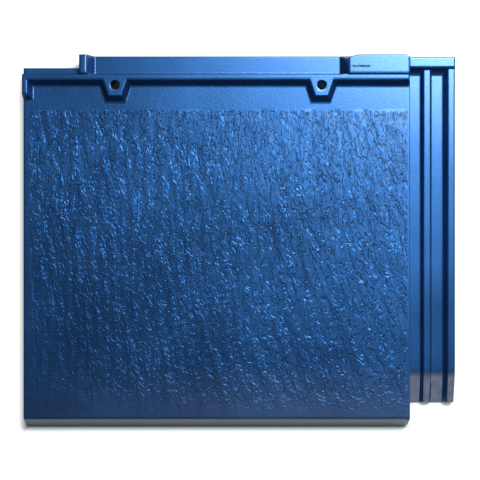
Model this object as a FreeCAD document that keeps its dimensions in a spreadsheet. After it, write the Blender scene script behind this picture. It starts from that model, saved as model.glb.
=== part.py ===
"""Flat interlocking roof tile of pressed concrete, as one solid, in millimetres.

Seen from above, +Y runs up the roof to the tile's head and +X towards the side channel.  The origin is
under the middle of the tile's outline, on the plane that the front edge, the channel and the lugs rest on.
"""
import FreeCAD, Part
import os
import re
import Sketcher

# Driving dimensions.  Each is a cell of the spreadsheet, and every sketch and feature is bound to them.
SIZES = {
    # exposed panel
    "panel_width": 378.5,
    "tile_length": 366,
    "panel_top": 24,
    "panel_thickness": 11,
    # front edge, a lip that leans back as it rises
    "lip_lean": 10.8,
    "lip_thickness": 7.5,
    # side channel, measured outwards from the panel's edge
    "channel_floor": 9.5,
    "wall_draft": 1.1,
    "first_floor": 11,
    "first_rib_front": 2.6,
    "first_rib_top": 6.6,
    "first_rib_back": 1.3,
    "first_rib_height": 4.5,
    "second_floor": 11.8,
    "second_rib_front": 3.9,
    "second_rib_top": 7.2,
    "second_rib_height": 6,
    "channel_wall": 6.5,
    "channel_setback": 25.3,
    "chute_length": 30.8,
    "chute_drop": 6.5,
    "chute_taper": 1.4,
    # overlap along the left edge, which lies in the next tile's channel
    "joint_gap": 1.5,
    "lap_play": 1.5,
    # water bar across the head of the channel
    "bar_width": 10.6,
    "bar_height": 8,
    "bar_slope": 7.2,
    # head ridge, its return along the left edge, and the nail bosses
    "ridge_height": 9,
    "ridge_top": 5.7,
    "ridge_slope": 4.4,
    "tail_length": 18.8,
    "return_top": 5.2,
    "return_slope": 3.9,
    "return_length": 20.3,
    "return_front": 3.6,
    "boss_spacing": 200.9,
    "boss_offset": 1.6,
    "boss_back": 11.7,
    "boss_front": 6.2,
    "boss_length": 15.5,
    "boss_slope": 4.6,
    "nail_radius": 4.2,
    "nail_setback": 4.8,
    # tail behind the ridge: a low strip between two blocks, and a short flange on the left
    "strip_drop": 2,
    "block_height": 12,
    "left_block_inset": 55.6,
    "left_block_top": 7.8,
    "left_block_slope": 5.8,
    "right_block_top": 59.2,
    "right_block_slope": 6.6,
    "block_draft": 1.9,
    "flange_length": 7,
    "flange_thickness": 6.5,
    "flange_relief": 8.2,
    # underside: stiffening ribs and the two lugs that hook over the batten
    "cross_rib_width": 9,
    "cross_rib_depth": 11,
    "front_bay": 71,
    "batten_bay": 36,
    "long_rib_width": 10,
    "long_rib_depth": 8,
    "rib_draft": 8,
    "lug_width": 40,
    "lug_setback": 13.5,
    "lug_tip": 6.5,
    "lug_slope": 5,
}

# Places worked out from the sizes, as formulas of the spreadsheet's aliases.
CHANNEL_STEPS = ["wall_draft", "first_floor", "first_rib_front", "first_rib_top", "first_rib_back",
                 "second_floor", "second_rib_front", "second_rib_top"]


def across(count):
    """Distance from the panel's edge over the channel's first `count` steps."""
    return "(" + " + ".join(CHANNEL_STEPS[:count]) + ")"


LEFT = f"(-(panel_width + {across(8)}) / 2)"
RIGHT = f"((panel_width + {across(8)}) / 2)"
PANEL_RIGHT = f"({LEFT} + panel_width)"
FRONT = "(-tile_length / 2)"
HEAD = "(tile_length / 2)"
UNDERSIDE = "(panel_top - panel_thickness)"
FIRST_RIB = "(channel_floor + first_rib_height)"
SECOND_RIB = "(channel_floor + second_rib_height)"
RIDGE_BACK = f"({HEAD} - tail_length)"
RIDGE_FRONT = f"({RIDGE_BACK} - ridge_top)"
RIDGE_FOOT = f"({RIDGE_FRONT} - ridge_slope)"
RIDGE_TOP = "(panel_top + ridge_height)"
BLOCK_TOP = "(panel_top + block_height)"
STRIP_TOP = "(panel_top - strip_drop)"
LEFT_BLOCK = f"({LEFT} + left_block_inset)"
STRIP_LEFT = f"({LEFT_BLOCK} + left_block_top + left_block_slope)"
RIGHT_BLOCK_TOP = f"({PANEL_RIGHT} - block_draft - right_block_top)"
STRIP_RIGHT = f"({RIGHT_BLOCK_TOP} - right_block_slope)"
FLANGE_END = f"({RIDGE_BACK} + flange_length)"
CHUTE_START = f"({FRONT} + channel_setback + chute_length)"
CHUTE_END = f"({FRONT} + channel_setback)"
LIP_BACK = f"({FRONT} + lip_lean)"
OVERLAP_EDGE = f"({LEFT} - joint_gap + {across(8)} + lap_play)"
CHANNEL_INNER = f"({PANEL_RIGHT} - channel_wall)"
LUG_FRONT = f"({HEAD} - lug_setback)"
REAR_RIB = f"({LUG_FRONT} - batten_bay - cross_rib_width)"
FRONT_RIB = f"({FRONT} + front_bay)"
BOSS_MIDDLE = f"(({LEFT} + {PANEL_RIGHT}) / 2 + boss_offset)"

doc = FreeCAD.newDocument("flat_roof_tile")
sheet = doc.addObject("Spreadsheet::Sheet", "sizes")
for row, (alias, number) in enumerate(SIZES.items(), start=1):
    sheet.set(f"A{row}", str(number))
    sheet.setAlias(f"A{row}", alias)
doc.recompute()

body = doc.addObject("PartDesign::Body", "roof_tile")
body.Label = "roof_tile"


def bound(formula):
    """A formula of aliases, written so that each alias is read from the spreadsheet."""
    return re.sub(r"[a-z]\w*", r"sizes.\g<0>", formula)


def sketch_on(role, name, offset):
    """An empty sketch on one of the body's origin planes, moved along the plane's normal."""
    sketch = body.newObject("Sketcher::SketchObject", name)
    plane = [feature for feature in body.Origin.OriginFeatures if feature.Role == role][0]
    sketch.AttachmentSupport = (plane, [""])
    sketch.MapMode = "FlatFace"
    sketch.setExpression("AttachmentOffset.Base.z", bound(offset))
    return sketch


def place(sketch, geometry, vertex, point):
    """Fix one vertex of a sketch at a point given by two formulas, measured from the origin."""
    for kind, formula in zip(("DistanceX", "DistanceY"), point):
        index = sketch.addConstraint(Sketcher.Constraint(kind, -1, 1, geometry, vertex, 1.0))
        sketch.setExpression(f"Constraints[{index}]", bound(formula))


def polygon(role, name, offset, points):
    """A closed outline of straight sides through the points."""
    sketch = sketch_on(role, name, offset)
    count = len(points)
    for index in range(count):
        start = FreeCAD.Vector(index, index * index, 0)
        following = (index + 1) % count
        end = FreeCAD.Vector(following, following * following, 0)
        sketch.addGeometry(Part.LineSegment(start, end), False)
    for index, point in enumerate(points):
        previous = (index - 1) % count
        sketch.addConstraint(Sketcher.Constraint("Coincident", previous, 2, index, 1))
        place(sketch, index, 1, point)
    return sketch


def circles(role, name, offset, centres, radius):
    """Circles of one radius about the centres."""
    sketch = sketch_on(role, name, offset)
    for number, centre in enumerate(centres):
        rough = FreeCAD.Vector(10 * number, 0, 0)
        sketch.addGeometry(Part.Circle(rough, FreeCAD.Vector(0, 0, 1), 1), False)
        place(sketch, number, 3, centre)
        index = sketch.addConstraint(Sketcher.Constraint("Radius", number, 1.0))
        sketch.setExpression(f"Constraints[{index}]", bound(radius))
    return sketch


def extrude(kind, name, sketch, length, backwards=False, taper=None):
    """A Pad or Pocket of the sketch.  Its effect on the body's volume is checked by its sign."""
    before = body.Shape.Volume if body.Tip else 0.0
    feature = body.newObject(f"PartDesign::{kind}", name)
    feature.Profile = sketch
    feature.Reversed = backwards
    feature.setExpression("Length", bound(length))
    if taper:
        feature.setExpression("TaperAngle", bound(taper))
    doc.recompute()
    gained = feature.Shape.Volume - before
    if (gained > 0) != (kind == "Pad"):
        raise RuntimeError(f"{name} has the wrong direction: {gained:.1f} cubic mm")
    return feature


def loft(name, first, last):
    """A solid with straight sides between two outlines that have as many corners."""
    feature = body.newObject("PartDesign::AdditiveLoft", name)
    feature.Profile = first
    feature.Sections = [last]
    feature.Ruled = True
    doc.recompute()
    return feature


def rectangle(x_low, x_high, y_low, y_high):
    """The four corners of a rectangle."""
    return [(x_low, y_low), (x_high, y_low), (x_high, y_high), (x_low, y_high)]


def channel_section(drop, taper):
    """The channel's section, lowered by `drop`, with its ribs and outer edge moved in by `taper`."""
    heights = ["channel_floor", "channel_floor", FIRST_RIB, FIRST_RIB, "channel_floor",
               "channel_floor", SECOND_RIB, SECOND_RIB]
    upper = []
    for count, height in enumerate(heights, start=1):
        moved = f"{PANEL_RIGHT} + {across(count)}" + ("" if count == 1 else f" - {taper}")
        upper.append((moved, f"{height} - {drop}"))
    under = [(f"{RIGHT} - {taper}", "0"), (CHANNEL_INNER, "0")]
    return [(CHANNEL_INNER, "panel_top"), (PANEL_RIGHT, "panel_top")] + upper + under


# Panel: one section carried from the lip to the head.  Its left underside follows the next tile's channel.
next_edge = f"{LEFT} - joint_gap"
overlap = [
    (LEFT, "channel_floor + lap_play"),
    (f"{next_edge} + {across(2)} - lap_play", "channel_floor + lap_play"),
    (f"{next_edge} + {across(3)} - lap_play", f"{FIRST_RIB} + lap_play"),
    (f"{next_edge} + {across(4)} + lap_play", f"{FIRST_RIB} + lap_play"),
    (f"{next_edge} + {across(5)} + lap_play", "channel_floor + lap_play"),
    (f"{next_edge} + {across(6)} - lap_play", "channel_floor + lap_play"),
    (f"{next_edge} + {across(7)} - lap_play", f"{SECOND_RIB} + lap_play"),
    (OVERLAP_EDGE, f"{SECOND_RIB} + lap_play"),
]
panel_outline = overlap + [(OVERLAP_EDGE, UNDERSIDE), (PANEL_RIGHT, UNDERSIDE),
                           (PANEL_RIGHT, "panel_top"), (LEFT, "panel_top")]
panel_section = polygon("XZ_Plane", "panel_section", f"-{HEAD}", panel_outline)
extrude("Pad", "panel", panel_section, f"{HEAD} - {LIP_BACK}")

# Lip: a leaning wall under the panel's front edge.
lip_outline = [(FRONT, "0"), (f"{FRONT} + lip_thickness", "0"),
               (f"{LIP_BACK} + lip_thickness", "panel_top"), (LIP_BACK, "panel_top")]
extrude("Pad", "lip", polygon("YZ_Plane", "lip_section", LEFT, lip_outline), "panel_width")

# Side channel with its two ribs, and the chute that its front end runs down.
channel = polygon("XZ_Plane", "channel_section", f"-{HEAD}", channel_section("0", "0"))
extrude("Pad", "channel", channel, f"{HEAD} - {CHUTE_START}")
chute_top = polygon("XZ_Plane", "chute_top", f"-{CHUTE_START}", channel_section("0", "0"))
chute_foot = polygon("XZ_Plane", "chute_foot", f"-{CHUTE_END}", channel_section("chute_drop", "chute_taper"))
loft("chute", chute_top, chute_foot)
bar_outline = [(HEAD, "0"), (HEAD, "channel_floor + bar_height"),
               (f"{HEAD} - bar_width", "channel_floor + bar_height"),
               (f"{HEAD} - bar_width - bar_slope", "channel_floor"), (f"{HEAD} - bar_width - bar_slope", "0")]
extrude("Pad", "water_bar", polygon("YZ_Plane", "bar_section", CHANNEL_INNER, bar_outline),
        f"{RIGHT} - {CHANNEL_INNER}")

# Tail: the strip is a step lower than the panel, and the corner beyond the flange is open.
tail_step = polygon("XY_Plane", "strip_outline", "panel_top",
                    rectangle(STRIP_LEFT, STRIP_RIGHT, RIDGE_BACK, HEAD))
extrude("Pocket", "strip", tail_step, "strip_drop")
open_corner = polygon("XY_Plane", "corner_outline", "panel_top",
                      rectangle(LEFT, LEFT_BLOCK, FLANGE_END, HEAD))
extrude("Pocket", "open_corner", open_corner, "panel_top")
relief = polygon("XY_Plane", "flange_outline", "0",
                 rectangle(LEFT, OVERLAP_EDGE, f"{FLANGE_END} - flange_relief", FLANGE_END))
extrude("Pocket", "flange_underside", relief, "panel_top - flange_thickness", backwards=True)
left_block = [(LEFT_BLOCK, UNDERSIDE), (STRIP_LEFT, UNDERSIDE), (STRIP_LEFT, STRIP_TOP),
              (f"{LEFT_BLOCK} + left_block_top", BLOCK_TOP), (LEFT_BLOCK, BLOCK_TOP)]
left_section = polygon("XZ_Plane", "left_block_section", f"-{HEAD}", left_block)
extrude("Pad", "left_block", left_section, "tail_length")
right_block = [(STRIP_RIGHT, UNDERSIDE), (PANEL_RIGHT, UNDERSIDE), (PANEL_RIGHT, "panel_top"),
               (f"{PANEL_RIGHT} - block_draft", BLOCK_TOP), (RIGHT_BLOCK_TOP, BLOCK_TOP),
               (STRIP_RIGHT, STRIP_TOP)]
right_section = polygon("XZ_Plane", "right_block_section", f"-{HEAD}", right_block)
extrude("Pad", "right_block", right_section, "tail_length")

# Head ridge, and its return along the left edge.
groove_top = f"{SECOND_RIB} + lap_play"
ridge_outline = [(RIDGE_FOOT, groove_top), (RIDGE_BACK, groove_top), (RIDGE_BACK, RIDGE_TOP),
                 (RIDGE_FRONT, RIDGE_TOP), (RIDGE_FOOT, "panel_top")]
extrude("Pad", "ridge", polygon("YZ_Plane", "ridge_section", LEFT, ridge_outline),
        "panel_width - block_draft")
return_foot = polygon("XY_Plane", "return_foot", "panel_top",
                      rectangle(LEFT, f"{LEFT} + return_top + return_slope",
                                f"{RIDGE_BACK} - return_length - return_front", RIDGE_BACK))
return_crest = polygon("XY_Plane", "return_crest", RIDGE_TOP,
                       rectangle(LEFT, f"{LEFT} + return_top", f"{RIDGE_BACK} - return_length", RIDGE_BACK))
loft("ridge_return", return_foot, return_crest)

# Nail bosses: tapered in plan, with sloping sides, and a hole right through each.
narrowing = "((boss_back - boss_front) / boss_length)"
centres = [f"({BOSS_MIDDLE} - boss_spacing / 2)", f"({BOSS_MIDDLE} + boss_spacing / 2)"]
for number, centre in enumerate(centres, start=1):
    boss_end = f"({RIDGE_FRONT} - boss_length)"
    foot_back = "(boss_back + boss_slope)"
    foot_front = f"(boss_front + boss_slope - {narrowing} * boss_slope)"
    foot = polygon("XY_Plane", f"boss_foot_{number}", "panel_top",
                   [(f"{centre} - {foot_back}", RIDGE_FRONT),
                    (f"{centre} - {foot_front}", f"{boss_end} - boss_slope"),
                    (f"{centre} + {foot_front}", f"{boss_end} - boss_slope"),
                    (f"{centre} + {foot_back}", RIDGE_FRONT)])
    crest = polygon("XY_Plane", f"boss_crest_{number}", RIDGE_TOP,
                    [(f"{centre} - boss_back", RIDGE_FRONT), (f"{centre} - boss_front", boss_end),
                     (f"{centre} + boss_front", boss_end), (f"{centre} + boss_back", RIDGE_FRONT)])
    loft(f"nail_boss_{number}", foot, crest)
holes = circles("XY_Plane", "nail_centres", RIDGE_TOP,
                [(centre, f"{RIDGE_FRONT} - nail_setback") for centre in centres], "nail_radius")
extrude("Pocket", "nail_holes", holes, RIDGE_TOP)

# Underside: two cross ribs, two long ribs between them, and the lugs behind the batten.
cross_ends = (f"{OVERLAP_EDGE} + lap_play", CHANNEL_INNER)
for name, start in (("front_rib", FRONT_RIB), ("rear_rib", REAR_RIB)):
    outline = rectangle(*cross_ends, start, f"{start} + cross_rib_width")
    cross = polygon("XY_Plane", f"{name}_outline", UNDERSIDE, outline)
    extrude("Pad", name, cross, "cross_rib_depth", backwards=True, taper="-rib_draft")
bay = f"(({CHANNEL_INNER} - {OVERLAP_EDGE}) / 3)"
for number in (1, 2):
    middle = f"({OVERLAP_EDGE} + {number} * {bay})"
    outline = rectangle(f"{middle} - long_rib_width / 2", f"{middle} + long_rib_width / 2",
                        f"{FRONT_RIB} + cross_rib_width / 2", f"{REAR_RIB} + cross_rib_width / 2")
    long_rib = polygon("XY_Plane", f"long_rib_outline_{number}", UNDERSIDE, outline)
    extrude("Pad", f"long_rib_{number}", long_rib, "long_rib_depth", backwards=True, taper="-rib_draft")
lug_outline = [(LUG_FRONT, UNDERSIDE), (LUG_FRONT, "0"), (f"{LUG_FRONT} + lug_tip", "0"),
               (f"{LUG_FRONT} + lug_tip + lug_slope", UNDERSIDE)]
for number, centre in enumerate(centres, start=1):
    section = polygon("YZ_Plane", f"lug_section_{number}", f"{centre} - lug_width / 2", lug_outline)
    extrude("Pad", f"lug_{number}", section, "lug_width")

doc.recompute()
for item in doc.Objects:
    if "Invalid" in item.State or "Error" in item.State:
        raise RuntimeError(f"{item.Label} failed: {item.State}")
if body.Shape.isNull() or not body.Shape.isValid() or len(body.Shape.Solids) != 1:
    raise RuntimeError("roof_tile isn't one valid solid")
os.makedirs("parts", exist_ok=True)
body.Shape.exportStep(f"parts/{body.Label}.step")
print(body.Label, body.Shape.BoundBox, round(body.Shape.Volume))
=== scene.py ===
"""Flat interlocking concrete roof tile with a slate-like face, painted satin blue.

Lengths are in metres in the frame's axes: +X runs across the roof to the side channel, +Y up the roof to
the tile's head, +Z out of the face.
"""
import math

import bpy
import numpy as np
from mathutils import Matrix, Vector


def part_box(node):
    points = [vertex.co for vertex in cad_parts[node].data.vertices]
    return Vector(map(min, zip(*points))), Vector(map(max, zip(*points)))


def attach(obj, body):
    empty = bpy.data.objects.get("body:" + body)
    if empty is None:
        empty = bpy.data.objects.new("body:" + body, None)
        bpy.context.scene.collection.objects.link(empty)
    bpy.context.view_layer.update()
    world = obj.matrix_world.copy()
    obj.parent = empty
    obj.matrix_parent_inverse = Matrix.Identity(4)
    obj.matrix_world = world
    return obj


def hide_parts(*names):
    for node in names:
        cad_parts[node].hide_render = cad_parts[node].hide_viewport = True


bl_info = {
    "name": "Flat roof tile",
    "version": (1, 0, 0),
    "blender": (4, 5, 0),
    "location": "View3D > Sidebar > Roof tile",
    "description": "Makes a pressed concrete roof tile with a painted, slate-like face",
    "category": "Object",
}

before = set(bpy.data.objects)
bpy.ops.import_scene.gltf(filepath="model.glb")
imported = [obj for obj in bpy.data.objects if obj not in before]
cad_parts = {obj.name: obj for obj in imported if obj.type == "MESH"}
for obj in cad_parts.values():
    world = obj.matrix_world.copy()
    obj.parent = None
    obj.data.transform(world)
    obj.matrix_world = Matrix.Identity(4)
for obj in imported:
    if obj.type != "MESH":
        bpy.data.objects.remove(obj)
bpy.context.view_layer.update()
NODE = "roof_tile"
LOW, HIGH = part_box(NODE)
MM = 0.001

# Outline, from the frame.
LEFT, FRONT, BASE = LOW
RIGHT, HEAD = HIGH[:2]

# Panel and lip.
PANEL_TOP = BASE + 24.0 * MM
UNDERSIDE = BASE + 13.0 * MM
LIP_LEAN = 10.8 * MM
LIP_THICKNESS = 7.5 * MM
LIP_ROUNDING = 0.09
PANEL_EDGE = 0.8 * MM
LEFT_CORNER = 2.0 * MM
RIGHT_CORNER = 5.0 * MM

# Side channel: widths of its steps, outwards from the panel's edge.
WALL_DRAFT = 1.1 * MM
CHANNEL_STEPS = np.cumsum([1.1, 11.0, 2.6, 6.6, 1.3, 11.8, 3.9, 7.2]) * MM
PANEL_RIGHT = RIGHT - CHANNEL_STEPS[-1]
CHANNEL_FLOOR = BASE + 9.5 * MM
FIRST_RIB = 4.5 * MM
SECOND_RIB = 6.0 * MM
CHANNEL_WALL = 6.5 * MM
CHUTE_END = FRONT + 25.3 * MM
CHUTE_LENGTH = 30.8 * MM
CHUTE_DROP = 6.5 * MM
CHUTE_TAPER = 0.8 * MM
CHUTE_ROUNDING = 0.05
BAR_WIDTH = 10.6 * MM
BAR_HEIGHT = 8.0 * MM
BAR_SLOPE = 7.2 * MM
BAR_HOLLOW = 2.4

# Head ridge, its return along the left edge, and the nail bosses.
RIDGE_HEIGHT = 9.0 * MM
RIDGE_BACK = HEAD - 18.8 * MM
RIDGE_FRONT = RIDGE_BACK - 5.7 * MM
RIDGE_SLOPE = 4.4 * MM
RIDGE_ROUNDING = 0.11
BACK_STEP = 0.5 * MM
RETURN_TOP = 5.2 * MM
RETURN_SLOPE = 3.9 * MM
RETURN_LENGTH = 20.3 * MM
RETURN_FRONT = 3.6 * MM
BOSS_MIDDLE = (LEFT + PANEL_RIGHT) / 2 + 1.6 * MM
BOSS_SPACING = 200.9 * MM
BOSSES = (BOSS_MIDDLE - BOSS_SPACING / 2, BOSS_MIDDLE + BOSS_SPACING / 2)
BOSS_BACK = 11.7 * MM
BOSS_FRONT = 6.2 * MM
BOSS_LENGTH = 15.5 * MM
BOSS_SLOPE = 4.6 * MM
BOSS_TAPER = (BOSS_BACK - BOSS_FRONT) / BOSS_LENGTH
BOSS_END = RIDGE_FRONT - BOSS_LENGTH
NAIL_RADIUS = 4.2 * MM
NAIL_Y = RIDGE_FRONT - 4.8 * MM
NAIL_SQUARE = 3.8 * MM
NAIL_RIM = 0.7 * MM

# Tail.
STRIP_DROP = 2.0 * MM
BLOCK_HEIGHT = 12.0 * MM
BLOCK_LEFT = LEFT + 55.6 * MM
LEFT_BLOCK_TOP = 7.8 * MM
LEFT_BLOCK_SLOPE = 5.8 * MM
BLOCK_DRAFT = 1.9 * MM
BLOCK_CORNER = 3.2 * MM
BLOCK_STEP = 0.4 * MM
CUT_DEPTH = 2.6 * MM
CUT_LENGTH = 9.0 * MM
CUT_SLOPE = 1.6 * MM
RIGHT_BLOCK_SLOPE = 6.6 * MM
RIGHT_BLOCK = PANEL_RIGHT - BLOCK_DRAFT - 59.2 * MM - RIGHT_BLOCK_SLOPE
FLANGE_END = RIDGE_BACK + 7.0 * MM
FLANGE_RELIEF = FLANGE_END - 8.2 * MM
FLANGE_UNDER = PANEL_TOP - 6.5 * MM

# Underside.
LAP_PLAY = 1.5 * MM
JOINT_GAP = 1.5 * MM
NEXT_EDGE = LEFT - JOINT_GAP
OVERLAP_EDGE = NEXT_EDGE + CHANNEL_STEPS[7] + LAP_PLAY
CHANNEL_INNER = PANEL_RIGHT - CHANNEL_WALL
CROSS_RIB_DEPTH = 11.0 * MM
LONG_RIB_DEPTH = 8.0 * MM
CROSS_RIB_WIDTH = 9.0 * MM
LONG_RIB_WIDTH = 10.0 * MM
RIB_DRAFT = math.tan(math.radians(8.0))
LUG_FRONT = HEAD - 13.5 * MM
LUG_TIP = 6.5 * MM
LUG_SLOPE = 5.0 * MM
LUG_WIDTH = 40.0 * MM
FRONT_RIB = FRONT + 71.0 * MM
REAR_RIB = LUG_FRONT - 36.0 * MM - CROSS_RIB_WIDTH
LONG_RIBS = [OVERLAP_EDGE + number * (CHANNEL_INNER - OVERLAP_EDGE) / 3 for number in (1, 2)]
UNDER_STEP = 0.3 * MM
RELIEF_STEP = 0.4 * MM
THINNEST = 0.3 * MM

# How far from a boss the grid's lines bend with its sides.
BEND_ACROSS = 36.0 * MM
BEND_ALONG = 26.0 * MM

# Face relief: the panel's textured field, inside smooth margins.
FIELD_LEFT = LEFT + 4.7 * MM
FIELD_RIGHT = PANEL_RIGHT - 2.3 * MM
FIELD_FRONT = FRONT + 14.0 * MM
FIELD_BACK = HEAD - 53.0 * MM
FIELD_FADE = 1.2 * MM


# ---------------------------------------------------------------- sizes and colours that a user would change

class TileShape(bpy.types.PropertyGroup):
    """Sizes of the tile's mesh and relief."""
    pitch_across: bpy.props.FloatProperty(
        name="Pitch across", description="Longest step of the face's grid across the tile",
        default=1.08 * MM, min=0.5 * MM, unit="LENGTH")
    pitch_along: bpy.props.FloatProperty(
        name="Pitch along", description="Longest step of the face's grid up the tile",
        default=2.35 * MM, min=0.5 * MM, unit="LENGTH")
    edge_radius: bpy.props.FloatProperty(
        name="Edge radius", description="Rounding of the outer edges", default=1.2 * MM, min=0.1 * MM,
        unit="LENGTH")
    relief_depth: bpy.props.FloatProperty(
        name="Relief depth", description="Height of one split-slate step", default=0.07 * MM, min=0.0,
        unit="LENGTH")
    relief_seed: bpy.props.IntProperty(
        name="Relief seed", description="Chooses the pattern of the relief", default=7, min=0)


class TilePaint(bpy.types.PropertyGroup):
    """Colours of the paint, of the grey painted in as reflection and shade, and of the concrete, as linear
    red, green and blue.
    """
    paint: bpy.props.FloatVectorProperty(
        name="Paint", description="Satin paint of the face", subtype="COLOR", size=4, min=0.0, max=1.0,
        default=(0.012, 0.075, 0.235, 1.0))
    # Painted reflection and shade: this grey stands in for the dim room reflected on faces turned from the
    # light, and for the light falling off there.
    painted_reflection_grey: bpy.props.FloatVectorProperty(
        name="Painted reflection grey", description="Grey painted in as reflection and shade on faces turned from the light", subtype="COLOR", size=4,
        min=0.0, max=1.0, default=(0.125, 0.108, 0.118, 1.0))
    concrete: bpy.props.FloatVectorProperty(
        name="Concrete", description="Bare concrete of the underside", subtype="COLOR", size=4, min=0.0,
        max=1.0, default=(0.30, 0.29, 0.27, 1.0))


class TileStage(bpy.types.PropertyGroup):
    """Camera, floor and lights."""
    camera_height: bpy.props.FloatProperty(
        name="Camera height", description="Height of the camera above the face", default=1.2, unit="LENGTH")
    lens: bpy.props.FloatProperty(
        name="Lens", description="Focal length in millimetres", default=92.0, min=10.0)
    window_power: bpy.props.FloatProperty(
        name="Window power", description="Power of the window beyond the head, in watts", default=1.4,
        min=0.0)
    sky_power: bpy.props.FloatProperty(
        name="Sky power", description="Power of the skylight over the head's corner, in watts", default=8.8,
        min=0.0)
    pane_power: bpy.props.FloatProperty(
        name="Pane power", description="Power of the small bright pane of the skylight, in watts",
        default=12.0, min=0.0)
    room: bpy.props.FloatProperty(
        name="Room", description="Strength of the dim light from all round", default=0.12, min=0.0)


# ---------------------------------------------------------------- shape functions

def ramp(distance, width, rounding=0.18):
    """Rises from 0 to 1 over `width`, straight, with both corners rounded by a parabola.

    With t = distance / width and e the rounding, a corner at 0 is 0 before -e, (t + e)^2 / 4e up to e and
    t after it.  The ramp is that corner less the same corner moved to 1.
    """
    t = np.asarray(distance) / width

    def corner(s):
        bend = (s + rounding) ** 2 / (4 * rounding)
        return np.where(s < -rounding, 0.0, np.where(s > rounding, s, bend))
    return corner(t) - corner(t - 1)


def ramp_marks(start, width, rounding=0.18):
    """The places where a ramp's corners begin, bend and end."""
    return [start + width * t for t in (-rounding, 0, rounding, 1 - rounding, 1, 1 + rounding)]


def edge_drop(distance, radius):
    """How far a quarter-round edge lies below its face, at a distance in from the border."""
    inward = np.clip(radius - distance, 0, radius)
    return radius - np.sqrt(radius ** 2 - inward ** 2)


def edge_marks(place, inward, radius):
    """Grid lines that follow a quarter-round edge; `inward` is 1 or -1."""
    return [place + inward * radius * share for share in (0, 0.05, 0.18, 0.42, 1)]


def fill(marks, pitch):
    """The marks in order, with even lines between them so that no step is longer than the pitch."""
    marks = np.unique(np.round(np.array(marks, dtype=float), 5))
    steps = np.diff(marks)
    counts = np.maximum(1, np.ceil(steps / pitch - 1e-6)).astype(int)
    parts = [start + step * np.arange(count) / count for start, step, count in zip(marks, steps, counts)]
    return np.concatenate(parts + [marks[-1:]])


def value_noise(x, y, cell_x, cell_y, seed):
    """Smooth noise from 0 to 1: random numbers on a lattice, blended with smoothsteps between its points."""
    rng = np.random.default_rng(seed)
    table = rng.random((97, 89))
    u, v = x / cell_x + 31.7, y / cell_y + 17.3
    i, j = np.floor(u).astype(int), np.floor(v).astype(int)
    s, t = u - i, v - j
    s, t = s * s * (3 - 2 * s), t * t * (3 - 2 * t)

    def at(di, dj):
        return table[(i + di) % 97, (j + dj) % 89]
    return (at(0, 0) * (1 - s) + at(1, 0) * s) * (1 - t) + (at(0, 1) * (1 - s) + at(1, 1) * s) * t


def terrace(field, levels, sharpness):
    """Flat treads with steep risers: each of the levels is held, and crossed in a short smooth step."""
    scaled = field * levels
    tread = np.floor(scaled)
    rise = np.clip((scaled - tread - 0.5) * sharpness + 0.5, 0, 1)
    return (tread + rise * rise * (3 - 2 * rise)) / levels


def slate_relief(x, y, depth, seed):
    """Height of the split-slate relief: treads drawn out up the tile, with narrow risers between them.

    Smooth noise, stretched along the tile and cut into a few flat levels, gives long treads, and a finer
    one short treads on them.  Both follow lines that wobble, and that lean over to the right as they come
    down the right half of the face.  Small round islands stand between the treads.
    """
    across = (x - LEFT) / (PANEL_RIGHT - LEFT)
    lean = 0.04 + 0.30 * np.clip(across * 1.7 - 0.45, 0, 1) * np.clip((0.10 - y) / 0.12, 0.1, 1)
    wobble = 3.4 * MM * (value_noise(x, y, 7 * MM, 10 * MM, seed) - 0.5)
    wobble = wobble + 1.5 * MM * (value_noise(x, y, 2.6 * MM, 4.2 * MM, seed + 1) - 0.5)
    u = x + lean * y + wobble
    long_treads = terrace(value_noise(u, y, 7.2 * MM, 36 * MM, seed + 2), 3.4, 9.0) * 3.4
    short_treads = terrace(value_noise(u, y, 4.4 * MM, 13 * MM, seed + 3), 2.3, 7.0) * 2.3
    islands = np.clip((value_noise(x + wobble, y, 3.6 * MM, 4.6 * MM, seed + 5) - 0.70) * 9, 0, 1)
    crowd = np.clip(across * 1.5 - 0.1, 0.15, 1)
    return depth * (long_treads - 1.7 + 0.65 * (short_treads - 1.1) + 0.75 * crowd * islands)


def relief_height(x, y, depth, seed):
    """The relief inside its field, fading out in a narrow border and weaker down the face and to the left."""
    fade = FIELD_FADE
    inside = np.clip((x - FIELD_LEFT) / (3 * fade), 0, 1) * np.clip((FIELD_RIGHT - x) / fade, 0, 1)
    inside = inside * np.clip((y - FIELD_FRONT) / (12 * fade), 0, 1)
    inside = inside * np.clip((FIELD_BACK - y) / fade, 0, 1)
    up = np.clip((y - FRONT) / (HEAD - FRONT), 0, 1)
    across = np.clip((x - LEFT) / (PANEL_RIGHT - LEFT), 0, 1)
    strength = 0.45 + 0.35 * up + 0.30 * across
    return inside * strength * slate_relief(x, y, depth, seed)


def boss_half_width(y):
    """Half the width of a boss's top, narrowing straight from the ridge to its end."""
    return BOSS_BACK + BOSS_TAPER * (y - RIDGE_FRONT)


def panel_height(x, y, wall, shape):
    """The panel: flat behind a leaning lip, with the relief added as far as the channel's wall."""
    lip = ramp(y - FRONT, LIP_LEAN, LIP_ROUNDING)
    panel = BASE + (PANEL_TOP - BASE) * lip
    return panel + relief_height(x, y, shape.relief_depth, shape.relief_seed) * (1 - wall)


def raised_share(x, y):
    """Share of the ridge's height, 0 to 1: the highest of the ridge, its return and the two bosses."""
    ridge = ramp(y - (RIDGE_FRONT - RIDGE_SLOPE), RIDGE_SLOPE, RIDGE_ROUNDING)
    turn = 1 - ramp(x - (LEFT + RETURN_TOP), RETURN_SLOPE)
    turn = np.minimum(turn, ramp(y - (RIDGE_BACK - RETURN_LENGTH - RETURN_FRONT), RETURN_FRONT))
    raised = np.maximum(ridge, turn)
    for centre in BOSSES:
        side = ramp(boss_half_width(y) + BOSS_SLOPE - np.abs(x - centre), BOSS_SLOPE)
        end = ramp(y - (BOSS_END - BOSS_SLOPE), BOSS_SLOPE)
        raised = np.maximum(raised, np.minimum(side, end))
    return raised


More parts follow.
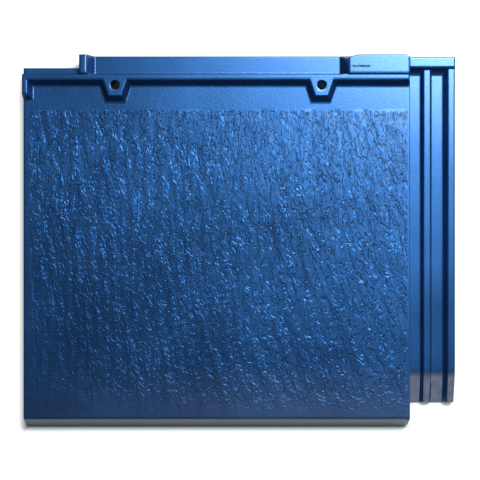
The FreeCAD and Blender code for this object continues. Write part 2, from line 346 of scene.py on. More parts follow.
def tail_height(x, y):
    """The tail behind the ridge: a lowered strip between the left block and the right one.

    The right block's back left corner is cut off on a slant, and its back right corner is a quarter circle.
    """
    left_block = ramp(x - BLOCK_LEFT, BLOCK_STEP) - ramp(x - BLOCK_LEFT - LEFT_BLOCK_TOP, LEFT_BLOCK_SLOPE)
    right_block = ramp(x - RIGHT_BLOCK, RIGHT_BLOCK_SLOPE)
    strip = ramp(x - BLOCK_LEFT, BLOCK_STEP) * (1 - right_block)
    cut = CUT_DEPTH * np.clip(1 - (x - RIGHT_BLOCK - RIGHT_BLOCK_SLOPE) / CUT_LENGTH, 0, 1)
    cut = cut * np.clip(1.5 * (x - RIGHT_BLOCK) / RIGHT_BLOCK_SLOPE, 0, 1)
    cut_corner = 1 - ramp(y - (HEAD - cut), CUT_SLOPE) * (cut > 0)
    into = np.clip(y - (HEAD - BLOCK_CORNER), 0, BLOCK_CORNER)
    bend = BLOCK_CORNER - np.sqrt(BLOCK_CORNER ** 2 - into ** 2)
    block_end = ramp(PANEL_RIGHT - bend - x, BLOCK_DRAFT)
    block = left_block + right_block * block_end * cut_corner
    return PANEL_TOP - STRIP_DROP * strip * (1 - left_block) + BLOCK_HEIGHT * block


def channel_height(x, y):
    """The side channel: a floor that sinks along the chute, with the higher of the ribs and the water bar.

    The water bar's slope is a ramp raised to a power, which hollows it.
    """
    steps = PANEL_RIGHT + CHANNEL_STEPS
    ribs = FIRST_RIB * (ramp(x - steps[1], steps[2] - steps[1]) - ramp(x - steps[3], steps[4] - steps[3]))
    ribs = ribs + SECOND_RIB * ramp(x - steps[5], steps[6] - steps[5])
    chute = CHUTE_DROP * ramp(CHUTE_END + CHUTE_LENGTH - y, CHUTE_LENGTH, CHUTE_ROUNDING)
    rise = ramp(y - (HEAD - BAR_WIDTH - BAR_SLOPE), BAR_SLOPE, 0.1)
    bar = BAR_HEIGHT * np.clip(rise, 0, 1) ** BAR_HOLLOW
    return CHANNEL_FLOOR - chute + np.maximum(ribs, bar)


def rounded_off(height, x, y, wall, radius):
    """The height less the quarter rounds of the borders and of the nail holes' rims."""
    height = height - edge_drop(x - LEFT, radius) - edge_drop(HEAD - y, radius)
    height = height - edge_drop(RIGHT - x, radius) - edge_drop(PANEL_RIGHT - x, PANEL_EDGE) * (1 - wall)
    flange = (x < BLOCK_LEFT + 1e-6) & (y > RIDGE_BACK)
    height = np.where(flange, height - edge_drop(FLANGE_END - y, radius), height)
    for centre in BOSSES:
        rim = np.hypot(x - centre, y - NAIL_Y) - NAIL_RADIUS
        height = height - edge_drop(np.maximum(rim, 0), NAIL_RIM) * (rim < NAIL_RIM)
    return height


def face_height(x, y, shape):
    """Height of the upper side: the panel with what is raised on it, the tail behind, the channel beside."""
    wall = ramp(x - PANEL_RIGHT, WALL_DRAFT)
    right_end = ramp(PANEL_RIGHT - x, BLOCK_DRAFT)
    behind = ramp(y - RIDGE_BACK, BACK_STEP)
    front_part = panel_height(x, y, wall, shape) + RIDGE_HEIGHT * raised_share(x, y) * right_end
    height = front_part * (1 - behind) + tail_height(x, y) * behind
    height = height * (1 - wall) + channel_height(x, y) * wall
    return np.maximum(rounded_off(height, x, y, wall, shape.edge_radius), BASE + THINNEST)


def bar_shape(place, start, width, depth):
    """A rib's section: full depth between drafted sides."""
    draft = depth * RIB_DRAFT
    end = start + width
    return depth * np.interp(place, [start, start + draft, end - draft, end], [0, 1, 1, 0])


def under_height(x, y):
    """Height of the underside: straight-sided hollows, ribs and lugs, one linear function for each."""
    steps = NEXT_EDGE + CHANNEL_STEPS
    low = CHANNEL_FLOOR + LAP_PLAY
    overlap_x = [LEFT, steps[1] - LAP_PLAY, steps[2] - LAP_PLAY, steps[3] + LAP_PLAY, steps[4] + LAP_PLAY,
                 steps[5] - LAP_PLAY, steps[6] - LAP_PLAY, OVERLAP_EDGE, OVERLAP_EDGE + UNDER_STEP]
    overlap_z = [low, low, low + FIRST_RIB, low + FIRST_RIB, low, low, low + SECOND_RIB, low + SECOND_RIB,
                 UNDERSIDE]
    height = np.interp(x, overlap_x, overlap_z)
    relief = np.interp(y, [FLANGE_RELIEF, FLANGE_RELIEF + RELIEF_STEP], [0, 1]) * (x < OVERLAP_EDGE + 1e-6)
    height = height * (1 - relief) + FLANGE_UNDER * relief

    between = (x > OVERLAP_EDGE + LAP_PLAY - 1e-6) & (x < CHANNEL_INNER + 1e-6)
    cross = bar_shape(y, FRONT_RIB, CROSS_RIB_WIDTH, CROSS_RIB_DEPTH)
    cross = cross + bar_shape(y, REAR_RIB, CROSS_RIB_WIDTH, CROSS_RIB_DEPTH)
    along = (y > FRONT_RIB) & (y < REAR_RIB + CROSS_RIB_WIDTH / 2)
    ribs = cross
    for middle in LONG_RIBS:
        rib = bar_shape(x, middle - LONG_RIB_WIDTH / 2, LONG_RIB_WIDTH, LONG_RIB_DEPTH) * along
        ribs = np.maximum(ribs, rib)
    height = height - ribs * between

    lug_y = [LUG_FRONT, LUG_FRONT + UNDER_STEP, LUG_FRONT + LUG_TIP, LUG_FRONT + LUG_TIP + LUG_SLOPE]
    lug = np.interp(y, lug_y, [0, 1, 1, 0]) * (UNDERSIDE - BASE)
    for centre in BOSSES:
        half = LUG_WIDTH / 2
        width = np.interp(np.abs(x - centre), [half - UNDER_STEP, half], [1, 0])
        height = height - lug * width

    channel = np.interp(x, [CHANNEL_INNER, CHANNEL_INNER + UNDER_STEP], [0, 1])
    channel = channel * np.interp(y, [CHUTE_END - UNDER_STEP, CHUTE_END], [0, 1])
    height = height * (1 - channel) + BASE * channel
    lip = np.maximum(y - FRONT - LIP_THICKNESS, 0) * (PANEL_TOP - BASE) / LIP_LEAN
    return np.minimum(height, BASE + lip)


def face_marks(shape):
    """Grid lines that the upper side's forms need: (across, along)."""
    radius = shape.edge_radius
    across = edge_marks(LEFT, 1, radius) + ramp_marks(LEFT + RETURN_TOP, RETURN_SLOPE)
    across += [BLOCK_LEFT, BLOCK_LEFT + BLOCK_STEP]
    across += ramp_marks(BLOCK_LEFT + LEFT_BLOCK_TOP, LEFT_BLOCK_SLOPE)
    across += ramp_marks(RIGHT_BLOCK, RIGHT_BLOCK_SLOPE)
    across += [PANEL_RIGHT - BLOCK_DRAFT, PANEL_RIGHT, PANEL_RIGHT + WALL_DRAFT]
    across += [PANEL_RIGHT - 0.2 * MM, PANEL_RIGHT + 0.2 * MM, PANEL_RIGHT + WALL_DRAFT + 0.2 * MM]
    steps = PANEL_RIGHT + CHANNEL_STEPS
    for first, last in ((1, 2), (3, 4), (5, 6)):
        across += ramp_marks(steps[first], steps[last] - steps[first])
    across += edge_marks(RIGHT, -1, radius) + edge_marks(PANEL_RIGHT, -1, PANEL_EDGE)
    for centre in BOSSES:
        for side in (-1, 1):
            across += ramp_marks(centre + side * BOSS_BACK, side * BOSS_SLOPE)
            across += [centre + side * NAIL_SQUARE * share for share in (1, 1.06, 1.2)]
    along = ramp_marks(FRONT, LIP_LEAN, LIP_ROUNDING)[1:]
    along += ramp_marks(CHUTE_END, CHUTE_LENGTH, CHUTE_ROUNDING)[1:]
    along += ramp_marks(RIDGE_BACK - RETURN_LENGTH - RETURN_FRONT, RETURN_FRONT)
    along += ramp_marks(BOSS_END - BOSS_SLOPE, BOSS_SLOPE)
    along += ramp_marks(RIDGE_FRONT - RIDGE_SLOPE, RIDGE_SLOPE, RIDGE_ROUNDING)
    along += [NAIL_Y + side * NAIL_SQUARE * share for side in (-1, 1) for share in (1, 1.06, 1.2)]
    along += [RIDGE_BACK, RIDGE_BACK + BACK_STEP]
    along += [HEAD - BAR_WIDTH - BAR_SLOPE * share for share in (1.0, 0.75, 0.5, 0.35, 0.2, 0.1, 0, -0.1)]
    along += edge_marks(FLANGE_END, -1, radius) + edge_marks(HEAD, -1, radius)
    along += [HEAD - back * MM for back in (3.2, 2.6, 1.9, 1.2, 0.6)]
    along += [FIELD_BACK, FIELD_BACK - FIELD_FADE]
    return across, along


def under_marks():
    """Grid lines that the underside's forms need: (across, along)."""
    steps = NEXT_EDGE + CHANNEL_STEPS
    across = [LEFT, steps[1] - LAP_PLAY, steps[2] - LAP_PLAY, steps[3] + LAP_PLAY, steps[4] + LAP_PLAY,
              steps[5] - LAP_PLAY, steps[6] - LAP_PLAY, BLOCK_LEFT, PANEL_RIGHT, RIGHT]
    across += [OVERLAP_EDGE, OVERLAP_EDGE + UNDER_STEP, OVERLAP_EDGE + LAP_PLAY - UNDER_STEP]
    across += [OVERLAP_EDGE + LAP_PLAY, CHANNEL_INNER, CHANNEL_INNER + UNDER_STEP]
    draft = LONG_RIB_DEPTH * RIB_DRAFT
    for middle in LONG_RIBS:
        for side in (-1, 1):
            across += [middle + side * (LONG_RIB_WIDTH / 2 - inset) for inset in (0, draft)]
    for centre in BOSSES:
        for side in (-1, 1):
            across += [centre + side * NAIL_SQUARE]
            across += [centre + side * (LUG_WIDTH / 2 - inset) for inset in (0, UNDER_STEP)]
    slope = LIP_LEAN / (PANEL_TOP - BASE)
    along = [FRONT, FRONT + LIP_THICKNESS, FRONT + LIP_THICKNESS + slope * (UNDERSIDE - BASE)]
    along += [CHUTE_END - UNDER_STEP, CHUTE_END, FLANGE_RELIEF, FLANGE_RELIEF + RELIEF_STEP]
    along += [FLANGE_END, HEAD]
    draft = CROSS_RIB_DEPTH * RIB_DRAFT
    for start in (FRONT_RIB, REAR_RIB):
        along += [start, start + draft, start + CROSS_RIB_WIDTH - draft, start + CROSS_RIB_WIDTH]
    along += [NAIL_Y - NAIL_SQUARE, NAIL_Y + NAIL_SQUARE]
    along += [LUG_FRONT, LUG_FRONT + UNDER_STEP, LUG_FRONT + LUG_TIP, LUG_FRONT + LUG_TIP + LUG_SLOPE]
    return across, along


def settle(x, y):
    """Moves the grid's points so that its lines follow the forms that aren't square to it.

    Beside a boss the lines up the tile are drawn in with the boss's sides.  Around a nail hole a square of
    the grid becomes a circle.  On the chute the channel's lines move in.  At the panel's front corners the
    lines bend back on an arc.
    """
    moved_x, moved_y = x.copy(), y.copy()
    for centre in BOSSES:
        offset = x - centre
        size = np.abs(offset)
        row = np.clip(y, BOSS_END - BOSS_SLOPE, RIDGE_FRONT)
        shift = BOSS_BACK - boss_half_width(row)
        shift = shift * np.interp(y, [BOSS_END - BEND_ALONG, BOSS_END - BOSS_SLOPE], [0, 1])
        share = np.interp(size, [0, BOSS_BACK, BOSS_BACK + BOSS_SLOPE, BEND_ACROSS], [0, 1, 1, 0])
        moved_x = moved_x - np.sign(offset) * shift * share
        rise = y - NAIL_Y
        reach = np.maximum(size, np.abs(rise))
        angle = np.arctan2(rise, offset)
        near = np.interp(reach, [NAIL_SQUARE * 1.25, NAIL_SQUARE * 2.2], [1, 0])
        round_x = centre + reach / NAIL_SQUARE * NAIL_RADIUS * np.cos(angle)
        round_y = NAIL_Y + reach / NAIL_SQUARE * NAIL_RADIUS * np.sin(angle)
        moved_x = moved_x * (1 - near) + round_x * near
        moved_y = moved_y * (1 - near) + round_y * near
    down = ramp(CHUTE_END + CHUTE_LENGTH - y, CHUTE_LENGTH, CHUTE_ROUNDING)
    outward = np.interp(x, [PANEL_RIGHT + WALL_DRAFT, PANEL_RIGHT + CHANNEL_STEPS[1]], [0, 1])
    moved_x = moved_x - CHUTE_TAPER * down * outward
    for corner, side, radius in ((PANEL_RIGHT, 1, RIGHT_CORNER), (LEFT, -1, LEFT_CORNER)):
        beside = np.clip(radius - side * (corner - x), 0, radius)
        bend = radius - np.sqrt(radius ** 2 - beside ** 2)
        bend = bend * (side * (corner - x) >= -1e-6)
        moved_y = moved_y + bend * np.interp(y, [FRONT + LIP_LEAN, CHUTE_END - 1 * MM], [1, 0])
    return moved_x, moved_y


def closed_tile(shape):
    """Points and faces of the whole tile: a fine upper side, a coarser underside and walls between them.

    Both sides are heights over one grid.  The underside keeps only the lines that its forms need, and its
    border cells take in every point of the border, so the two sides share their walls without a gap.
    """
    face_x, face_y = face_marks(shape)
    under_x, under_y = under_marks()
    xs = fill(face_x + under_x, shape.pitch_across)
    ys = fill(face_y + under_y, shape.pitch_along)
    coarse_x = fill(under_x, 40 * MM)
    coarse_y = fill(under_y, 40 * MM)
    columns = np.unique(np.abs(xs[None, :] - coarse_x[:, None]).argmin(axis=1))
    rows = np.unique(np.abs(ys[None, :] - coarse_y[:, None]).argmin(axis=1))
    grid_x, grid_y = np.meshgrid(xs, ys, indexing="ij")

    # cells inside the outline
    middle_x = ((xs[1:] + xs[:-1]) / 2)[:, None]
    middle_y = ((ys[1:] + ys[:-1]) / 2)[None, :]
    solid = (middle_x < PANEL_RIGHT) | (middle_y > CHUTE_END)
    solid = solid & ~((middle_x < BLOCK_LEFT) & (middle_y > FLANGE_END))
    for centre in BOSSES:
        hole = (np.abs(middle_x - centre) < NAIL_SQUARE) & (np.abs(middle_y - NAIL_Y) < NAIL_SQUARE)
        solid = solid & ~hole
    around = np.pad(solid, 1)
    corners = np.stack([around[:-1, :-1], around[1:, :-1], around[:-1, 1:], around[1:, 1:]])
    used = corners.any(axis=0)
    border = used & ~corners.all(axis=0)

    # points: the upper side, then the underside
    place_x, place_y = settle(grid_x, grid_y)
    upper = np.full(used.shape, -1)
    upper[used] = np.arange(used.sum())
    kept = np.zeros_like(used)
    kept[np.ix_(columns, rows)] = True
    kept = (kept & used) | border
    lower = np.full(used.shape, -1)
    lower[kept] = used.sum() + np.arange(kept.sum())
    top = face_height(place_x, place_y, shape)
    bottom = np.minimum(under_height(place_x, place_y), top - THINNEST)
    points = np.concatenate([
        np.stack([place_x[used], place_y[used], top[used]], axis=1),
        np.stack([place_x[kept], place_y[kept], bottom[kept]], axis=1)])

    # upper cells, anticlockwise from above
    i, j = np.nonzero(solid)
    faces = np.stack([upper[i, j], upper[i + 1, j], upper[i + 1, j + 1], upper[i, j + 1]], axis=1).tolist()

    # walls under the border's edges, facing away from the solid cell
    for inner, outer, first, second in (
            (around[1:-1, 1:], around[1:-1, :-1], (0, 0), (1, 0)),
            (around[1:-1, :-1], around[1:-1, 1:], (1, 0), (0, 0)),
            (around[:-1, 1:-1], around[1:, 1:-1], (0, 0), (0, 1)),
            (around[1:, 1:-1], around[:-1, 1:-1], (0, 1), (0, 0))):
        i, j = np.nonzero(inner & ~outer)
        a, b = (i + first[0], j + first[1]), (i + second[0], j + second[1])
        faces += np.stack([upper[b], upper[a], lower[a], lower[b]], axis=1).tolist()

    # underside cells, clockwise from above, with every border point on their sides
    inside = solid[np.ix_((columns[:-1] + columns[1:]) // 2, (rows[:-1] + rows[1:]) // 2)]
    inside = np.pad(inside, 1)
    for p, q in zip(*np.nonzero(inside[1:-1, 1:-1])):
        i0, i1, j0, j1 = columns[p], columns[p + 1], rows[q], rows[q + 1]
        south = range(i0, i1) if not inside[p + 1, q] else (i0,)
        east = range(j0, j1) if not inside[p + 2, q + 1] else (j0,)
        north = range(i1, i0, -1) if not inside[p + 1, q + 2] else (i1,)
        west = range(j1, j0, -1) if not inside[p, q + 1] else (j1,)
        loop = [(i, j0) for i in south] + [(i1, j) for j in east]
        loop += [(i, j1) for i in north] + [(i0, j) for j in west]
        faces.append([int(lower[point]) for point in reversed(loop)])
    return points, faces


# ---------------------------------------------------------------- materials

RUB_X = PANEL_RIGHT - 49.0 * MM
RUB_Y = HEAD - 11.4 * MM
RUB_COLOUR = (0.01, 0.015, 0.03, 1.0)
# Shares of the grey painted in as reflection and shade: on the chute's level faces, and as painted shade
# along the face's front.
CHUTE_SHARE = 0.75
FOOT_SHARE = 0.32


class Finish:
    """A material in the making: short ways to add its nodes and wire them."""

    def __init__(self, name):
        self.material = bpy.data.materials.new(name)
        self.material.use_nodes = True
        self.tree = self.material.node_tree
        self.shader = self.tree.nodes["Principled BSDF"]
        self.place = self.make("ShaderNodeTexCoord").outputs["Object"]
        self.where = self.axes(self.place)

    def make(self, kind, values=None, inputs=None, **settings):
        """A new node, with its settings, its values and the sockets that feed it."""
        node = self.tree.nodes.new(kind)
        for name, value in settings.items():
            setattr(node, name, value)
        for name, value in (values or {}).items():
            node.inputs[name].default_value = value
        for name, source in (inputs or {}).items():
            self.tree.links.new(source, node.inputs[name])
        return node

    def axes(self, vector):
        """The X, Y and Z of a vector."""
        return self.make("ShaderNodeSeparateXYZ", inputs={"Vector": vector}).outputs

    def spread(self, source, low, high, to_low=0.0, to_high=1.0):
        """A value's range moved to another range, and held at its ends."""
        return self.make("ShaderNodeMapRange", {"From Min": low, "From Max": high, "To Min": to_low,
                                                "To Max": to_high}, {"Value": source}).outputs["Result"]

    def noise(self, scale, detail=2.0, roughness=0.5, stretch=(1, 1, 1), vector=None):
        """Noise of so many cells a metre, drawn out along an axis by a smaller stretch."""
        source = self.place if vector is None else vector
        mapped = self.make("ShaderNodeMapping", {"Scale": stretch}, {"Vector": source}).outputs["Vector"]
        return self.make("ShaderNodeTexNoise", {"Scale": scale, "Detail": detail, "Roughness": roughness},
                         {"Vector": mapped}).outputs["Fac"]

    def either(self, node, slots, values):
        """Gives each of a node's slots its value: a socket is wired, and anything else is set."""
        for slot, value in zip(slots, values):
            if isinstance(value, bpy.types.NodeSocket):
                self.tree.links.new(value, node.inputs[slot])
            else:
                node.inputs[slot].default_value = value

    def mixed(self, factor, first, second):
        """Two colours blended by a factor."""
        node = self.make("ShaderNodeMix", data_type="RGBA")
        self.tree.links.new(factor, node.inputs["Factor"])
        self.either(node, (6, 7), (first, second))
        return node.outputs[2]

    def combine(self, operation, first, *others):
        """An arithmetic operation on two values or more, from the left."""
        result = first
        for other in others:
            node = self.make("ShaderNodeMath", operation=operation)
            self.either(node, (0, 1), (result, other))
            result = node.outputs[0]
        return result

    def times(self, *values):
        """The product of the values."""
        return self.combine("MULTIPLY", *values)

    def total(self, *values):
        """The sum of the values."""
        return self.combine("ADD", *values)

    def most(self, *values):
        """The greatest of the values."""
        return self.combine("MAXIMUM", *values)

    def away(self, value, middle):
        """How far a value is from a middle, either way."""
        return self.combine("ABSOLUTE", self.combine("SUBTRACT", value, middle), 0.0)


def shade(colour, factor, lift=0.0):
    """A colour made darker or lighter by a factor, and lifted a little."""
    return [min(1.0, channel * factor + lift) for channel in colour[:3]] + [1.0]


def chute_foot(finish, facing):
    """1 on the level parts of the channel at its front end, where the chute leaves it: where the chute's
    painted reflection and shade go.
    """
    at_end = finish.spread(finish.where["Y"], CHUTE_END + 32 * MM, CHUTE_END + 25 * MM)
    in_channel = finish.spread(finish.where["X"], PANEL_RIGHT, PANEL_RIGHT + 1 * MM)
    return finish.times(at_end, in_channel, finish.spread(facing["Z"], 0.80, 0.94))


def painted_reflection_and_shade(finish, facing, chute):
    """Share of the grey painted in as reflection and shade, 0 to 1: most on the lip's face, turned away from
    the light, less on the chute, and as painted shade down the face's foot.
    """
    where, spread = finish.where, finish.spread
    # Painted reflection: the low faces turned to the eaves are greyed as if they reflected the dim room.
    eaves = spread(facing["Y"], -0.25, -0.85)
    low_face = spread(where["Z"], PANEL_TOP - 1 * MM, PANEL_TOP - 7 * MM)
    lip = finish.times(eaves, low_face, spread(where["Y"], CHUTE_END + 14 * MM, CHUTE_END + 6 * MM))
    # Painted shade: the face's front is greyed towards the eaves, less at the left.
    down = spread(where["Y"], FRONT + 70 * MM, FRONT + 5 * MM)
    on_panel = spread(where["X"], PANEL_RIGHT + 1 * MM, PANEL_RIGHT)
    painted_front_shade = finish.times(down, on_panel, spread(where["X"], LEFT + 20 * MM, 0.0, 0.35, 1.0))
    painted_light = finish.most(lip, finish.times(chute, CHUTE_SHARE), finish.times(painted_front_shade, FOOT_SHARE))
    mottle = finish.noise(140.0, 4.0, 0.6)
    return finish.times(painted_light, spread(mottle, 0.3, 0.62, 0.72, 1.0))


def rubbed_line(finish):
    """1 along a short broken line on the right block, where the paint is rubbed."""
    across = finish.spread(finish.away(finish.where["X"], RUB_X), 10 * MM, 7 * MM)
    along = finish.spread(finish.away(finish.where["Y"], RUB_Y), 1.3 * MM, 0.5 * MM)
    broken = finish.spread(finish.noise(300.0, 2.0, 0.6, (0.5, 1.0, 1.0)), 0.38, 0.52)
    return finish.times(along, across, broken)


def bare_share(finish, facing):
    """1 where the concrete is bare: on what faces down, and on every face inside the hollow."""
    where, spread = finish.where, finish.spread
    hollow = finish.times(spread(where["X"], LEFT + 2 * MM, LEFT + 3 * MM),
                          spread(where["X"], CHANNEL_INNER + 1 * MM, CHANNEL_INNER),
                          spread(where["Y"], FRONT + 6.5 * MM, FRONT + 7 * MM),
                          spread(where["Z"], UNDERSIDE + 0.5 * MM, UNDERSIDE))
    return finish.most(spread(facing["Z"], -0.2, -0.75), hollow)


def slate_streaks(finish):
    """Streaks finer than the mesh's relief: three low steps and a seam on leaning lines, and beads."""
    where, spread = finish.where, finish.spread
    lean = finish.times(spread(where["X"], -30 * MM, 150 * MM, 0.03, 0.34), where["Y"])
    wobble = finish.times(finish.combine("SUBTRACT", finish.noise(170.0), 0.5), 7 * MM)
    slanted = finish.make("ShaderNodeCombineXYZ", inputs={
        "X": finish.total(where["X"], lean, wobble),
        "Y": finish.times(where["Y"], 0.26)}).outputs["Vector"]
    fibre = finish.noise(140.0, 0.7, vector=slanted)
    steps = [spread(fibre, low, low + 0.03) for low in (0.40, 0.52, 0.64)]
    bead = finish.noise(330.0, 1.0, 0.5, (1.0, 0.7, 1.0))
    beads = finish.times(spread(bead, 0.61, 0.66), spread(where["X"], LEFT, 80 * MM, 0.4, 1.2))
    seam = spread(finish.away(finish.noise(120.0, 1.0, vector=slanted), 0.5), 0.0, 0.016)
    return finish.total(*steps, beads, seam)


def textured_field(finish):
    """1 in the face's textured field, less towards its front left, and 0 outside it."""
    where, spread = finish.where, finish.spread
    across = finish.times(spread(where["X"], FIELD_LEFT, FIELD_LEFT + 4 * MM),
                          spread(where["X"], FIELD_RIGHT, FIELD_RIGHT - 1 * MM))
    along = finish.times(spread(where["Y"], FIELD_FRONT, FIELD_FRONT + 25 * MM),
                         spread(where["Y"], FIELD_BACK, FIELD_BACK - 1 * MM))
    bold = finish.most(spread(where["X"], LEFT, 60 * MM, 0.25, 1.0),
                       spread(where["Y"], -110 * MM, 90 * MM, 0.25, 1.0))
    return finish.times(across, along, bold)


def surface_grain(finish, grit, matt):
    """The bumps: streaks in the textured field, orange peel in the paint, pores where the painted grey lies
    or the concrete is bare.
    """
    streaks = finish.make("ShaderNodeBump", {"Distance": 0.30 * MM}, {
        "Height": slate_streaks(finish), "Strength": textured_field(finish)})
    peel = finish.make("ShaderNodeBump", {"Strength": 1.0, "Distance": 0.15 * MM}, {
        "Height": finish.noise(640.0, 2.0, 0.6), "Normal": streaks.outputs["Normal"]})
    pores = finish.make("ShaderNodeBump", {"Strength": 0.4, "Distance": 0.3 * MM}, {
        "Height": finish.times(grit, matt), "Normal": peel.outputs["Normal"]})
    return pores.outputs["Normal"]


def painted_concrete(paint):
    """Satin metallic paint over fine-grained concrete, with grey painted in as reflection and shade on what
    faces the eaves, bare underneath.
    """
    finish = Finish("painted_concrete_satin")
    facing = finish.axes(finish.make("ShaderNodeNewGeometry").outputs["Normal"])
    chute = chute_foot(finish, facing)
    painted_light = painted_reflection_and_shade(finish, facing, chute)
    rub = rubbed_line(finish)
    bare = bare_share(finish, facing)
    matt = finish.most(painted_light, rub, bare)
    cloud = finish.noise(9.0, 3.0, 0.6)
    speck = finish.noise(900.0, 2.0, 0.7)
    grit = finish.noise(420.0, 5.0, 0.65)

    uneven = finish.spread(finish.total(cloud, finish.times(speck, 0.6)), 0.55, 1.05)
    coat = finish.mixed(uneven, shade(paint.paint, 0.78), shade(paint.paint, 1.25, 0.006))
    # Painted reflection and shade: grey on the lip and the face's front, a paler grey on the chute.
    painted_grey = finish.mixed(chute, paint.painted_reflection_grey, shade(paint.painted_reflection_grey, 2.1))
    coat = finish.mixed(rub, finish.mixed(painted_light, coat, painted_grey), RUB_COLOUR)
    concrete = finish.mixed(finish.spread(grit, 0.35, 0.65), shade(paint.concrete, 0.62), paint.concrete)
    satin = finish.spread(finish.total(cloud, speck), 0.7, 1.3, 0.34, 0.44)
    finish_inputs = {
        "Base Color": finish.mixed(bare, coat, concrete),
        "Roughness": finish.total(finish.times(matt, 0.28), satin),
        "Metallic": finish.times(finish.combine("SUBTRACT", 1.0, matt), 0.85),
        "Coat Weight": finish.times(finish.combine("SUBTRACT", 1.0, finish.most(rub, bare)), 0.6),
        "Normal": surface_grain(finish, grit, matt),
    }
    finish.either(finish.shader, finish_inputs.keys(), finish_inputs.values())
    finish.shader.inputs["Specular IOR Level"].default_value = 0.5
    finish.shader.inputs["Coat Roughness"].default_value = 0.20
    return finish.material


def floor_surface():
    """Plain white floor: lit softly, and near white to the camera except in the object's shadow; its glow is
    taken away under the tile and over a soft border round it, a painted shadow.
    """
    finish = Finish("floor_white")
    finish.shader.inputs["Base Color"].default_value = (0.8, 0.8, 0.8, 1.0)
    finish.shader.inputs["Roughness"].default_value = 0.9
    finish.shader.inputs["Specular IOR Level"].default_value = 0.1
    soft = 9 * MM

    def beyond(axis, start, way):
        """0 up to `start` along an axis, and 1 from a soft border's width beyond it."""
        return finish.spread(finish.where[axis], start, start + way * soft)

    # Painted shadow: the glow is off under the tile and fades in over a 9 mm border round its outline.
    notch = finish.times(beyond("X", PANEL_RIGHT, 1), beyond("Y", CHUTE_END, -1))
    corner = finish.times(beyond("X", BLOCK_LEFT, -1), beyond("Y", FLANGE_END, 1))
    beyond_painted_shadow = finish.most(beyond("X", RIGHT, 1), beyond("X", LEFT, -1), beyond("Y", HEAD, 1),
                        beyond("Y", FRONT, -1), notch, corner)
    glow = finish.make("ShaderNodeEmission", inputs={"Strength": finish.spread(beyond_painted_shadow, 0.0, 1.0, 0.0, 0.88)})
    both = finish.make("ShaderNodeAddShader", inputs={0: finish.shader.outputs[0], 1: glow.outputs[0]})
    camera_ray = finish.make("ShaderNodeLightPath").outputs["Is Camera Ray"]
    surface = finish.make("ShaderNodeMixShader", inputs={
        "Fac": camera_ray, 1: finish.shader.outputs[0], 2: both.outputs[0]})
    finish.tree.links.new(surface.outputs[0], finish.tree.nodes["Material Output"].inputs["Surface"])
    return finish.material


# ---------------------------------------------------------------- operators

class ROOFTILE_OT_tile(bpy.types.Operator):
    """Make the tile: one closed mesh in place of the plain solid"""
    bl_idname = "rooftile.tile"
    bl_label = "Tile"

    def execute(self, context):
        scene = context.scene
        points, faces = closed_tile(scene.tile_shape)
        mesh = bpy.data.meshes.new("tile")
        mesh.from_pydata(points.tolist(), [], faces)
        mesh.validate()
        mesh.shade_smooth()
        mesh.set_sharp_from_angle(angle=math.radians(50))
        tile = bpy.data.objects.new("tile", mesh)
        scene.collection.objects.link(tile)
        mesh.materials.append(painted_concrete(scene.tile_paint))
        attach(tile, "root")
        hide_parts(NODE)
        return {"FINISHED"}


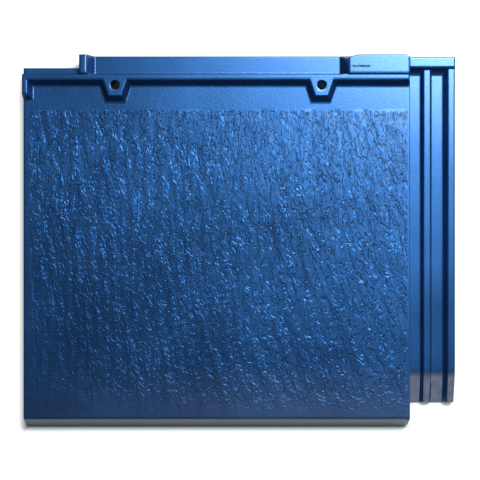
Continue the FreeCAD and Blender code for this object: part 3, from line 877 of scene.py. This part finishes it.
class ROOFTILE_OT_stage(bpy.types.Operator):
    """Make the floor, the lights and the camera that looks straight down"""
    bl_idname = "rooftile.stage"
    bl_label = "Stage"

    def execute(self, context):
        scene = context.scene
        stage = scene.tile_stage
        self.add_camera(scene, stage)
        self.add_floor(scene)
        self.add_light(scene, "window", (0.52, 0.50, 0.26), (0.04, 0.02, 0.0), (0.35, 0.20),
                       stage.window_power, (0.92, 0.97, 1.0))
        self.add_light(scene, "skylight", (0.29, 0.48, 1.15), (0.10, 0.12, 0.0), (0.60, 0.34),
                       stage.sky_power, (0.80, 0.97, 1.0))
        self.add_light(scene, "pane", (0.48, 0.57, 1.15), (0.19, 0.17, 0.0), (0.34, 0.26),
                       stage.pane_power, (0.80, 1.0, 1.0))
        self.set_world(scene, stage)
        scene.view_settings.view_transform = "Standard"
        return {"FINISHED"}

    def add_camera(self, scene, stage):
        """A level camera above the middle, a little up the roof."""
        data = bpy.data.cameras.new("camera")
        data.lens = stage.lens
        data.clip_end = 50.0
        camera = bpy.data.objects.new("camera", data)
        camera.location = (0.0, 2.9 * MM, PANEL_TOP + stage.camera_height)
        scene.collection.objects.link(camera)
        scene.camera = camera

    def add_floor(self, scene):
        """A wide level floor, its top where the tile rests."""
        half = 3.0
        corners = [(-half, -half, BASE), (half, -half, BASE), (half, half, BASE), (-half, half, BASE)]
        mesh = bpy.data.meshes.new("floor")
        mesh.from_pydata(corners, [], [(0, 1, 2, 3)])
        floor = bpy.data.objects.new("floor", mesh)
        scene.collection.objects.link(floor)
        mesh.materials.append(floor_surface())

    def add_light(self, scene, name, place, target, size, power, colour):
        """A rectangular lamp that faces its target."""
        data = bpy.data.lights.new(name, "AREA")
        data.shape = "RECTANGLE"
        data.size, data.size_y = size
        data.energy = power
        data.color = colour
        lamp = bpy.data.objects.new(name, data)
        lamp.location = place
        lamp.rotation_euler = (Vector(target) - Vector(place)).to_track_quat("-Z", "Y").to_euler()
        scene.collection.objects.link(lamp)

    def set_world(self, scene, stage):
        """A dim, slightly cool room, at full strength where the camera sees it."""
        world = bpy.data.worlds.new("room")
        world.use_nodes = True
        tree = world.node_tree
        background = tree.nodes["Background"]
        background.inputs["Color"].default_value = (0.85, 0.9, 1.0, 1.0)
        path = tree.nodes.new("ShaderNodeLightPath")
        strength = tree.nodes.new("ShaderNodeMapRange")
        strength.inputs["To Min"].default_value = stage.room
        strength.inputs["To Max"].default_value = 1.0
        tree.links.new(path.outputs["Is Camera Ray"], strength.inputs["Value"])
        tree.links.new(strength.outputs["Result"], background.inputs["Strength"])
        scene.world = world


class ROOFTILE_PT_panel(bpy.types.Panel):
    """Lists the steps that make the tile"""
    bl_idname = "ROOFTILE_PT_panel"
    bl_label = "Roof tile"
    bl_space_type = "VIEW_3D"
    bl_region_type = "UI"
    bl_category = "Roof tile"

    def draw(self, context):
        for group in (context.scene.tile_shape, context.scene.tile_paint, context.scene.tile_stage):
            for name in group.__annotations__:
                self.layout.prop(group, name)
        for operator in (ROOFTILE_OT_tile, ROOFTILE_OT_stage):
            self.layout.operator(operator.bl_idname)


GROUPS = {"tile_shape": TileShape, "tile_paint": TilePaint, "tile_stage": TileStage}
CLASSES = tuple(GROUPS.values()) + (ROOFTILE_OT_tile, ROOFTILE_OT_stage, ROOFTILE_PT_panel)


def register():
    for item in CLASSES:
        bpy.utils.register_class(item)
    for name, group in GROUPS.items():
        setattr(bpy.types.Scene, name, bpy.props.PointerProperty(type=group))


def unregister():
    for name in GROUPS:
        delattr(bpy.types.Scene, name)
    for item in reversed(CLASSES):
        bpy.utils.unregister_class(item)


def main():
    register()
    bpy.ops.rooftile.stage()
    bpy.ops.rooftile.tile()


if __name__ == "__main__":
    main()
